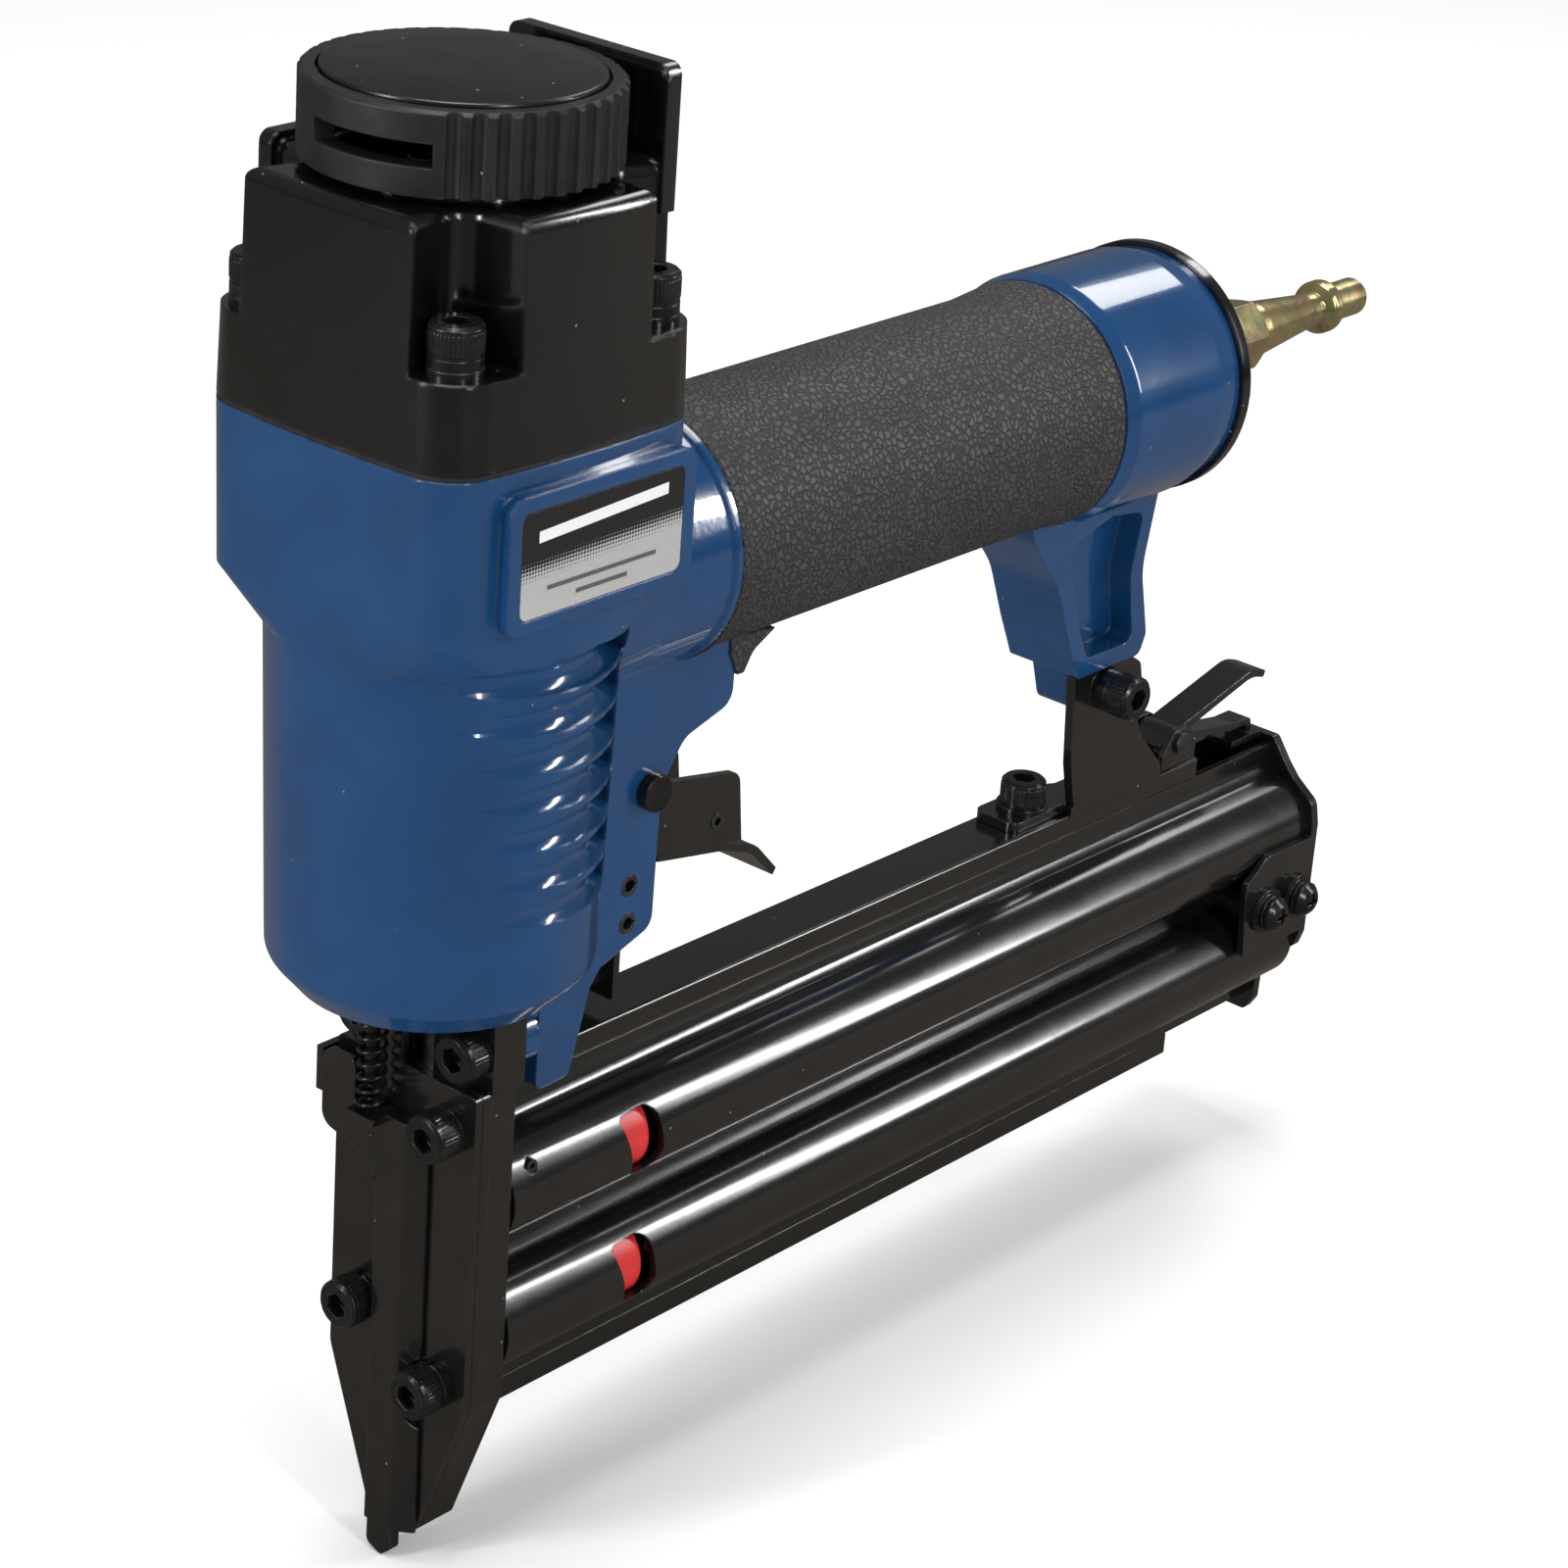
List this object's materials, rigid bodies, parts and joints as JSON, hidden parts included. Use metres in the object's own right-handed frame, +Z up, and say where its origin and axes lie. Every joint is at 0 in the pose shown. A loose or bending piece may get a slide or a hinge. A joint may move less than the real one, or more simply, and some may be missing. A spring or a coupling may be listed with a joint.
{
  "type": "pneumatic nail gun",
  "caption": "Pneumatic brad nailer: blue cast body with finger grooves, black cap with turning exhaust deflector, rubber grip, air plug, nose with safety bar, sliding magazine.",
  "frame": {"origin": "the point where the nail leaves the nose, on the driver axis, at the nose plates' lower edge", "axes": "+Z up along the driver axis towards the exhaust deflector, +X rearwards along the magazine and handle towards the air plug, +Y to the tool's left, away from the pictured nameplate"},
  "size_m": [0.2795, 0.06, 0.2597],
  "materials": {
    "alloy": "hard anodised",
    "black_alloy": "black anodised",
    "black_gloss": "gloss",
    "black_plastic": "satin",
    "black_steel": "semi-gloss blackened",
    "blue_paint": "gloss",
    "brass": "turned",
    "bright_steel": "ground",
    "bumper_plastic": "translucent",
    "gasket_paper": "fibre",
    "grip_rubber": "leather grain",
    "oiled_steel": "blued",
    "plate": "printed",
    "red_plastic": "satin",
    "seal_rubber": "smooth",
    "spring_steel": "drawn",
    "white_plastic": "moulded",
    "zinc": "yellow zinc plated"
  },
  "bodies": {
    "frame": {"body_casting": "blue_paint", "cap_gasket": "gasket_paper", "cylinder_cap": "black_gloss", "cap_washers": "black_steel", "cap_spring_washers": "black_steel", "cap_screws": "black_steel", "nameplates": "plate", "deflector_screw": "black_steel", "cylinder_liner": "alloy", "liner_orings": "seal_rubber", "piston_bumper": "bumper_plastic", "grip_sleeve": "grip_rubber", "handle_end_cap": "black_gloss", "end_cap_oring": "seal_rubber", "air_plug": "zinc", "trigger_pivot_pin": "black_steel", "pivot_clip": "spring_steel", "guide_roll_pins": "spring_steel", "trigger_valve_body": "brass", "valve_orings": "seal_rubber", "stem_spring": "spring_steel", "head_valve_spring": "spring_steel", "nose_base_plate": "black_steel", "driver_guide_plate": "black_steel", "nose_cover": "black_steel", "spring_guide_pin": "black_steel", "nose_washers": "black_steel", "nose_screws": "black_steel", "safety_spring": "oiled_steel", "magazine_track": "black_alloy", "rear_bracket": "black_steel", "bracket_screw": "black_steel", "rail_screw": "black_steel", "rail_washer": "black_steel", "latch_bracket": "black_steel", "latch_pin": "spring_steel"},
    "exhaust": {"exhaust_deflector": "black_plastic", "deflector_disc": "black_plastic"},
    "driver": {"drive_piston": "alloy", "piston_ring": "white_plastic", "driver_blade": "bright_steel"},
    "air_valve": {"head_valve": "white_plastic", "head_valve_oring": "seal_rubber"},
    "trigger_unit": {"trigger": "black_steel", "trigger_roll_pin": "spring_steel"},
    "lift_lever": {"trigger_lever": "oiled_steel"},
    "stem": {"valve_stem": "bright_steel"},
    "safety": {"safety_contact": "black_steel", "safety_link": "black_steel"},
    "magazine": {"magazine_shell_right": "black_alloy", "magazine_shell_left": "black_alloy", "magazine_roll_pins": "spring_steel", "magazine_end_plate": "black_steel", "end_plate_screws": "black_steel", "end_plate_washers": "black_steel", "pusher_guide_rod": "bright_steel"},
    "pusher": {"nail_pusher": "red_plastic", "pusher_spring": "spring_steel"},
    "latch": {"latch_lever": "black_steel"}
  },
  "joints": [
    {"name": "exhaust_turn", "type": "hinge", "parent": "frame", "child": "exhaust", "pos_m": [0, 0, 0.2394], "axis": [0, 0, 1], "continuous": true},
    {"name": "driver_stroke", "type": "slide", "parent": "frame", "child": "driver", "axis": [0, 0, -1], "range_m": [0, 0.078]},
    {"name": "head_valve_lift", "type": "slide", "parent": "frame", "child": "air_valve", "axis": [0, 0, 1], "range_m": [0, 0.0035], "stiffness_N_per_m": 1500, "springref_m": -0.004, "deforming": ["head_valve_spring"]},
    {"name": "trigger_pull", "type": "hinge", "parent": "frame", "child": "trigger_unit", "pos_m": [0.0392, 0, 0.1274], "axis": [0, -1, 0], "range_deg": [0, 14], "stiffness_Nm_per_rad": 0.25, "springref_deg": -11.46},
    {"name": "lift_lever_swing", "type": "hinge", "parent": "trigger_unit", "child": "lift_lever", "pos_m": [0.06, 0, 0.1145], "axis": [0, 1, 0], "range_deg": [-10, 0]},
    {"name": "stem_lift", "type": "slide", "parent": "frame", "child": "stem", "axis": [0, 0, 1], "range_m": [0, 0.0025], "stiffness_N_per_m": 300, "springref_m": -0.004, "deforming": ["stem_spring"]},
    {"name": "safety_press", "type": "slide", "parent": "frame", "child": "safety", "axis": [0, 0, 1], "range_m": [0, 0.0055], "stiffness_N_per_m": 400, "springref_m": -0.01, "deforming": ["safety_spring"]},
    {"name": "magazine_slide", "type": "slide", "parent": "frame", "child": "magazine", "axis": [1, 0, 0], "range_m": [0, 0.13]},
    {"name": "pusher_slide", "type": "slide", "parent": "magazine", "child": "pusher", "axis": [1, 0, 0], "range_m": [0, 0.127], "stiffness_N_per_m": 10, "springref_m": -0.5},
    {"name": "latch_lift", "type": "hinge", "parent": "frame", "child": "latch", "pos_m": [0.201, 0, 0.0882], "axis": [0, -1, 0], "range_deg": [0, 20], "stiffness_Nm_per_rad": 0.1, "springref_deg": -17.19}
  ],
  "couplings": [
    {"joint": "stem_lift", "follows": "trigger_pull", "m_per_rad": 0.0102}
  ]
}
